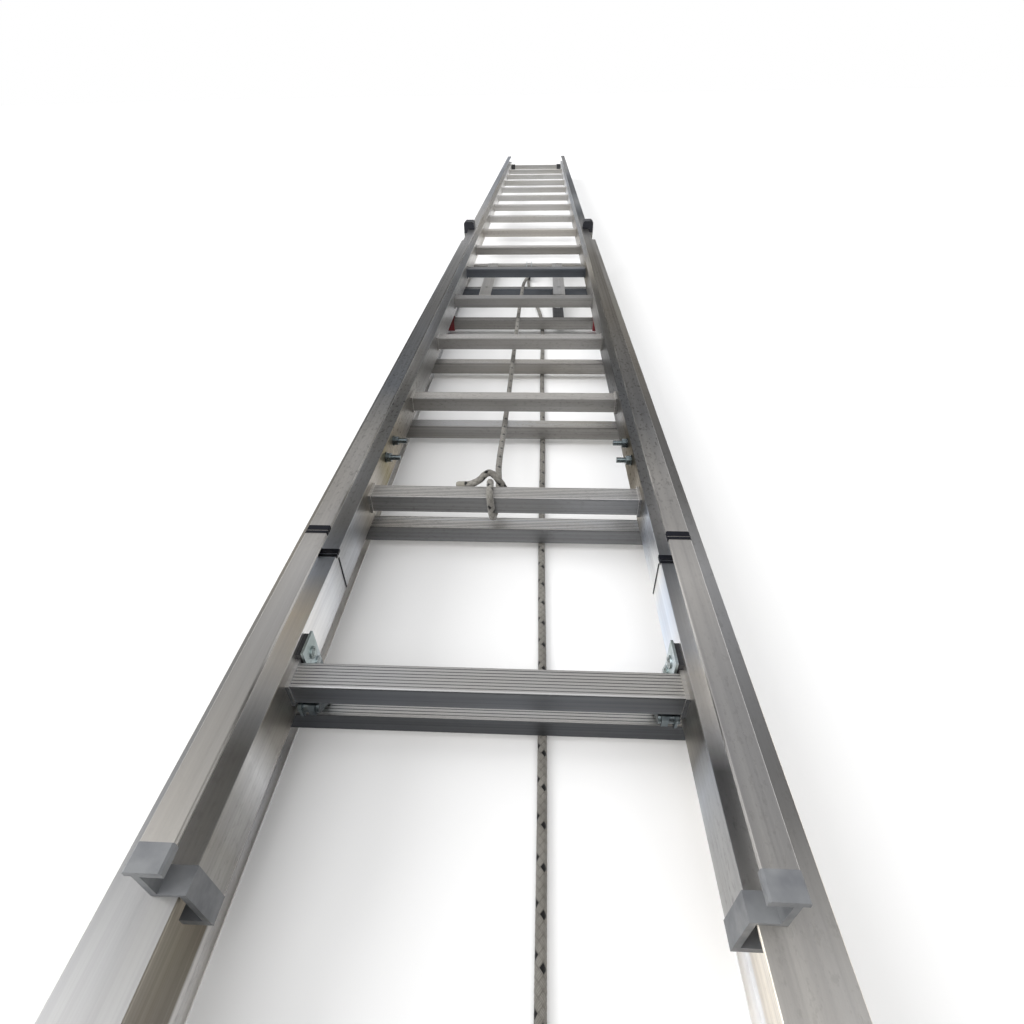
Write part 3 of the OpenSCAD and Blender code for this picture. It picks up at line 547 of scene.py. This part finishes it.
def rope_material():
    m = Mat("rope")
    uvn = m.node("ShaderNodeUVMap", uv_map="braid").outputs["UV"]
    sep = m.node("ShaderNodeSeparateXYZ")
    m.put(sep.inputs[0], uvn)
    u, v = m.math("SUBTRACT", sep.outputs[0], TWIST), sep.outputs[1]
    a = m.math("MULTIPLY", m.math("SUBTRACT", u, v), 4.0)
    b = m.math("MULTIPLY", m.math("ADD", u, v), 4.0)
    ra, rb = m.math("ROUND", a), m.math("ROUND", b)
    even = m.math("LESS_THAN", m.math("FLOORED_MODULO", m.math("ADD", ra, rb), 2.0), 0.5)
    tracer = m.math("MULTIPLY", even, m.math("LESS_THAN", m.math("FLOORED_MODULO", ra, 4.0), 0.5))
    ca = m.math("ABSOLUTE", m.math("COSINE", m.math("MULTIPLY", a, math.pi)))
    cb = m.math("ABSOLUTE", m.math("COSINE", m.math("MULTIPLY", b, math.pi)))
    dome = m.math("MULTIPLY", ca, cb)
    # yarns run along the strand that is on top
    yarn = m.math("SINE", m.math("MULTIPLY", m.mix(even, b, a), 2 * math.pi * 4))
    fuzz = m.noise(m.coords((1500, 1500, 1500)), 1.0, 2.0, 0.6)
    grime = m.noise(m.coords((40, 14, 40)), 1.0, 3.0, 0.6)
    fibre = m.mix(m.remap(grime, 0.38, 0.66, 0, 1), lin(142, 139, 133), lin(114, 111, 105))
    fibre = m.mix(m.remap(fuzz, 0.45, 0.75, 0, 0.35), fibre, lin(88, 86, 80))
    # painted shade: the grooves between yarns and the crevices between the plaited strands are darker
    fibre = m.mix(m.remap(yarn, -1.0, 0.2, 0.40, 0.0), fibre, lin(66, 64, 59))
    fibre = m.mix(m.remap(dome, 0.0, 0.26, 0.50, 0.0), fibre, lin(70, 68, 62))
    fleck = m.math("MULTIPLY", tracer, m.math("MULTIPLY", m.remap(ca, 0.24, 0.38, 0, 1), m.remap(cb, 0.06, 0.20, 0, 1)))
    base = m.mix(fleck, fibre, lin(8, 8, 9))
    at = m.node("ShaderNodeAttribute", attribute_name="whipping")
    base = m.mix(at.outputs["Fac"], base, lin(136, 133, 124))
    m.put(m.b.inputs["Base Color"], base)
    m.put(m.b.inputs["Roughness"], m.remap(fuzz, 0.3, 0.7, 0.72, 0.92))
    n = m.bump(dome, 0.0005, 0.5)
    n = m.bump(yarn, 0.00012, 0.5, n)
    m.put(m.b.inputs["Normal"], m.bump(fuzz, 0.0002, 0.35, n))
    m.set(Sheen_Weight=0.25, Sheen_Roughness=0.5)
    m.b.inputs["Specular IOR Level"].default_value = 0.25
    return m.m


ROPE = rope_material()

mm = 0.001
wheel_lo, wheel_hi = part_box("pulley_wheel")
pul = (wheel_lo + wheel_hi) / 2          # centre of the wheel
HITCH_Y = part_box("fly_rung_02")[0].y + 1.6 * mm   # lower face of the second fly rung
HITCH = [(-68, 33.6, 103), (-58, 33.6, 103), (-48, 33.8, 104), (-41, 34.8, 106.5), (-34, 37.5, 110), (-29, 43, 113), (-23, 47.5, 114),
         (-17, 46.5, 112.5), (-10, 42, 107), (-4, 42, 97), (0, 44.5, 82), (-1.5, 46, 69), (-12, 46.5, 62.4), (-19, 45.5, 65.5), (-23.2, 43.5, 73), (-22.8, 41, 86),
         (-21, 37.5, 97), (-20.5, 35.4, 104.8), (-20, 31, 109.4), (-19.5, 24, 110.9), (-19, 14, 110.9), (-18.5, 3, 110.9), (-18, -2.6, 109.5),
         (-17.5, -5.7, 105.2), (-17, -6.1, 99), (-16, -6.1, 84.5), (-15.5, -5.5, 78.4), (-15, -2.2, 74.5), (-14.5, 3.5, 73.1),
         (-13, 14, 73.1), (-12, 30, 73.1), (-11.5, 44, 73), (-12, 80, 72), (-15.5, 124, 69), (-16.5, 175, 65), (-17, 240, 53), (-17, 313, 46.4)]
RUN = [(-16, 410, 45.4), (-15.7, 480, 45.4), (-15.3, 590, 46.3), (-15, 660, 46.3), (-14.7, 770, 45.4), (-14, 890, 46.3), (-13.5, 960, 46.3),
       (-12.3, 1060, 45.4), (-10, 1190, 46.3), (-7, 1262, 46.3), (1, 1320, 46.2), (4, 1390, 46.1)]
WRAP = 20.5
hoist_points = [(x * mm, HITCH_Y + y * mm, z * mm) for x, y, z in HITCH + RUN]
hoist_points += [(pul.x, pul.y + WRAP * mm * math.cos(math.radians(q)), pul.z + WRAP * mm * math.sin(math.radians(q)))
                 for q in np.arange(90, -90.1, -15)]
hoist_line = curve_through(hoist_points, 0.00128)

FALL_X = 53 * mm
HANK_Y0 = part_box("rope_hank")[0].y
HANK_X = (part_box("rope_hank")[0].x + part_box("rope_hank")[1].x) / 2
fall = [(4, 0), (4, -30), (7, -90), (16, -160), (28, -240), (39, -320), (48, -400), (53, -500), (54, -620), (53, -760), (53, -900),
        (54, -1050), (54, -1200), (53, -1350), (53, -1500), (54, -1650), (54, -1800), (53, -1950), (53, -2035)]
fall_points = [(x * mm, pul.y + y * mm, 5.1 * mm) for x, y in fall] + [(FALL_X, HANK_Y0 + 0.218, 6.1 * mm)]


def hank_line(x0, y0, step):
    """Long turns, side by side and four deep, going in and out by turns. It starts at the right outer lane, going down."""
    yb, yt = y0 + 0.0456, y0 + 0.240 - 0.0456
    lanes = (0.0404, 0.0302, 0.0200)
    zs = (0.0062, 0.0164, 0.0266, 0.0368)
    out = []

    def run(x, ya, yb_, z):
        n = max(2, int(abs(yb_ - ya) / step))
        for t in np.linspace(0, 1, n, endpoint=False):
            out.append((x0 + x, ya + (yb_ - ya) * t, z))

    def fold(cx, cy, r, z0, z1, top, start_right):
        n = max(6, int(math.pi * r / step))
        for t in np.linspace(0, 1, n, endpoint=False):
            ang = math.pi * t
            sx = math.cos(ang) * (1 if start_right else -1)
            sy = math.sin(ang) * (1 if top else -1)
            e = t * t * (3 - 2 * t)
            out.append((x0 + cx + r * sx, cy + r * sy, z0 + (z1 - z0) * e))

    for layer in range(4):
        z = zs[layer]
        order = lanes if layer % 2 == 0 else lanes[::-1]
        for j, r in enumerate(order):
            run(r, yt, yb, z)
            fold(0, yb, r, z, z, False, True)
            run(-r, yb, yt, z)
            if j < 2:
                nxt = order[j + 1]
                rr = (r + nxt) / 2
                fold((nxt - r) / 2, yt, rr, z, z, True, False)
            elif layer < 3:
                fold(0, yt, r, z, zs[layer + 1], True, False)
    out.append((x0 - order[-1], yt, zs[3]))
    line = np.array(out)
    # a little unevenness, as a hand-wound hank has
    s = np.arange(len(line)) * step
    line[:, 0] += 0.00022 * np.sin(s * 31.0 + 0.7) + 0.00016 * np.sin(s * 67.0)
    line[:, 2] += 0.00012 * np.sin(s * 43.0 + 1.9)
    return line


fall_near = curve_through(fall_points, 0.00128)
hank = respaced(smoothed(hank_line(HANK_X, HANK_Y0, 0.00205), 3), 0.00205)
join = curve_through([tuple(fall_near[-12]), tuple(fall_near[-1]), tuple(hank[3]), tuple(hank[12])], 0.00128)
fall_line = np.vstack([fall_near[:-12], join, hank[13:]])
fall_line = smoothed(fall_line, 2)

falling = braided("falling_rope", fall_line, "base", tips=(False, True))
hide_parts("fall_rope", "rope_hank")

hoist = braided("hoisting_rope", hoist_line, None, tips=(True, False), start_v=0.35, spin=-0.07)
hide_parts("hoist_rope")
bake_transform(hoist)


def band(name, cx, cy, w, z0, z1, width, thick, r, body, material):
    """A flat strap closed round a bundle: the outline is a rounded rectangle in X-Z, swept over its width along Y."""
    outline = []
    for qx, qz, a0 in ((1, 1, 0), (-1, 1, 90), (-1, -1, 180), (1, -1, 270)):
        for q in range(0, 91, 15):
            a = math.radians(a0 + q)
            outline.append((cx + qx * (w / 2 - r) + r * math.cos(a), (z0 + z1) / 2 + qz * ((z1 - z0) / 2 - r) + r * math.sin(a), math.cos(a), math.sin(a)))
    prof = [(-1, 0.0), (-1, 0.7), (-0.9, 1.0), (0.9, 1.0), (1, 0.7), (1, 0.0)]
    verts, faces = [], []
    for x, z, nx, nz in outline:
        for py, pt in prof:
            verts.append((x - nx * thick * (1 - pt), cy + py * width / 2, z - nz * thick * (1 - pt)))
    n, k = len(outline), len(prof)
    for i in range(n):
        for j in range(k):
            a, b_ = i * k + j, i * k + (j + 1) % k
            c, d = ((i + 1) % n) * k + (j + 1) % k, ((i + 1) % n) * k + j
            faces.append((a, b_, c, d))
    o = mesh_object(name, verts, faces, body)
    o.data.materials.append(material)
    return o


hank_lo, hank_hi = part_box("rope_hank")
tie = band("hank_tie", (hank_lo.x + hank_hi.x) / 2, (hank_lo.y + hank_hi.y) / 2, hank_hi.x - hank_lo.x - 0.0002, 0.0001, hank_hi.z, 0.025, 0.0012, 0.006, "base", BLACK)

# ---------------------------------------------------------------- stage
floor_mat = Mat("floor")
floor_mat.set(Base_Color=(0.88, 0.88, 0.88, 1), Roughness=0.95)
floor_mat.b.inputs["Specular IOR Level"].default_value = 0.05
floor = mesh_object("floor", [(-60, -60, 0), (60, -60, 0), (60, 120, 0), (-60, 120, 0)], [(0, 1, 2, 3)], None, smooth=False)
floor.data.materials.append(floor_mat.m)

# a white room: the backdrop is white, and what lights and mirrors in the metal is a softer sky with a dim horizon
world = bpy.data.worlds.new("world")
scene.world = world
world.use_nodes = True
wt = world.node_tree
wt.nodes.clear()
w_out = wt.nodes.new("ShaderNodeOutputWorld")
w_path = wt.nodes.new("ShaderNodeLightPath")


def backdrop(strength):
    n = wt.nodes.new("ShaderNodeBackground")
    n.inputs["Color"].default_value = (1, 1, 1, 1)
    n.inputs["Strength"].default_value = strength
    return n


w_white, w_soft, w_sky = backdrop(1.0), backdrop(0.60), backdrop(1.0)
w_tc = wt.nodes.new("ShaderNodeTexCoord")
w_sep = wt.nodes.new("ShaderNodeSeparateXYZ")
w_ramp = wt.nodes.new("ShaderNodeValToRGB")
wt.links.new(w_tc.outputs["Generated"], w_sep.inputs[0])
wt.links.new(w_sep.outputs[2], w_ramp.inputs["Fac"])
e = w_ramp.color_ramp.elements
e[0].position, e[0].color = 0.0, (0.56, 0.56, 0.56, 1)
e[1].position, e[1].color = 1.0, (0.34, 0.35, 0.37, 1)
for pos, c in ((0.15, (0.58, 0.58, 0.58, 1)), (0.45, (0.52, 0.52, 0.53, 1)), (0.75, (0.42, 0.42, 0.43, 1))):
    e.new(pos).color = c
wt.links.new(w_ramp.outputs["Color"], w_sky.inputs["Color"])
w_a, w_b = wt.nodes.new("ShaderNodeMixShader"), wt.nodes.new("ShaderNodeMixShader")
wt.links.new(w_path.outputs["Is Glossy Ray"], w_a.inputs[0])
wt.links.new(w_soft.outputs[0], w_a.inputs[1])
wt.links.new(w_sky.outputs[0], w_a.inputs[2])
wt.links.new(w_path.outputs["Is Camera Ray"], w_b.inputs[0])
wt.links.new(w_a.outputs[0], w_b.inputs[1])
wt.links.new(w_white.outputs[0], w_b.inputs[2])
wt.links.new(w_b.outputs[0], w_out.inputs["Surface"])


def sun(name, toward, power, angle, colour=(1, 1, 1)):
    d = bpy.data.lights.new(name, "SUN")
    d.energy = power
    d.angle = math.radians(angle)
    d.color = colour
    o = bpy.data.objects.new(name, d)
    scene.collection.objects.link(o)
    o.rotation_euler = Vector(toward).to_track_quat("-Z", "Y").to_euler()
    return o


sun("key", (0.80, 0.10, -0.60), 2.1, 45)
sun("top", (-0.05, 0.40, -1.0), 1.45, 60)
